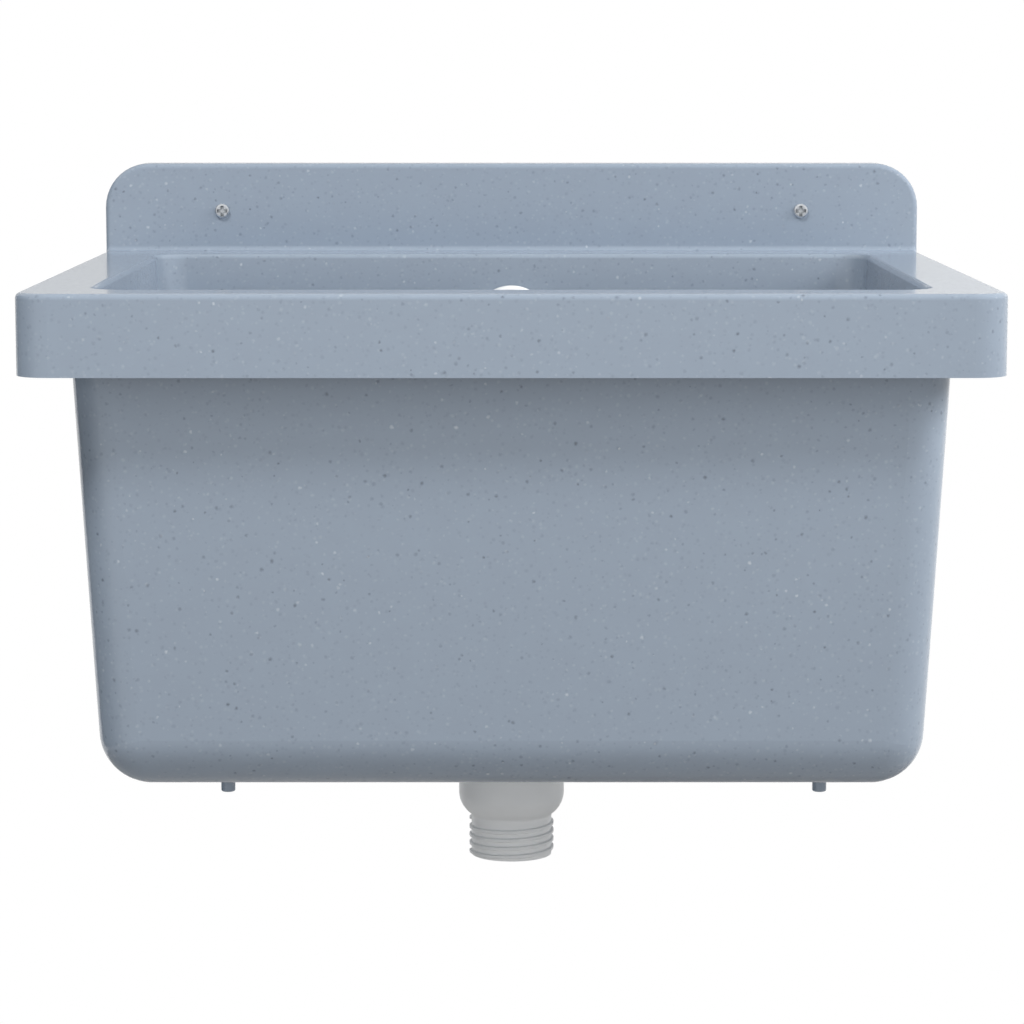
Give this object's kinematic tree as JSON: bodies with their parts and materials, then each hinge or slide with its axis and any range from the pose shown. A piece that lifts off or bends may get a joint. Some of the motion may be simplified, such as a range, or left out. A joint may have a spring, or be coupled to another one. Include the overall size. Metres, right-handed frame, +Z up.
{
  "type": "wall-mounted utility sink",
  "caption": "Wall-hung utility sink: a deep moulded bowl with a broad rim, an apron and a low splash back, with a plugged waste, a rear overflow and wall screws.",
  "frame": {"origin": "on the wall plane, midway between the two wall screws", "axes": "+X to the right seen from the front, along the two screws; +Y into the wall, so the front of the sink faces -Y; +Z up"},
  "size_m": [0.5, 0.4662, 0.3846],
  "materials": {
    "granite_resin": "glossy blue-grey moulded resin with fine dark and white flecks",
    "white_plastic": "white injection-moulded polypropylene, satin gloss",
    "zinc_steel": "bright zinc-plated steel",
    "brass": "turned brass",
    "black_rubber": "matt black rubber",
    "grey_rubber": "matt grey rubber"
  },
  "bodies": {
    "sink": {"basin": "granite_resin", "wall_screws": "zinc_steel", "drain_strainer": "white_plastic", "strainer_gasket": "black_rubber", "drain_gasket": "black_rubber", "drain_body": "white_plastic", "drain_spider": "white_plastic", "drain_insert": "brass", "drain_screw": "zinc_steel", "overflow_rosette": "white_plastic", "rosette_gasket": "black_rubber", "overflow_gasket": "black_rubber", "overflow_elbow": "white_plastic", "overflow_insert": "brass", "overflow_screw": "zinc_steel", "overflow_pipe": "white_plastic", "overflow_nuts": "white_plastic", "overflow_seals": "black_rubber"},
    "plug": {"drain_plug": "grey_rubber", "plug_eye": "zinc_steel"},
    "pull_ring": {"plug_ring": "zinc_steel"}
  },
  "joints": [
    {"name": "plug_lift", "type": "slide", "parent": "sink", "child": "plug", "axis": [0, 0, 1], "range_m": [0, 0.32]},
    {"name": "pull_ring_swing", "type": "hinge", "parent": "plug", "child": "pull_ring", "pos_m": [0, -0.222, -0.2712], "axis": [-1, 0, 0], "range_deg": [0, 180]}
  ]
}
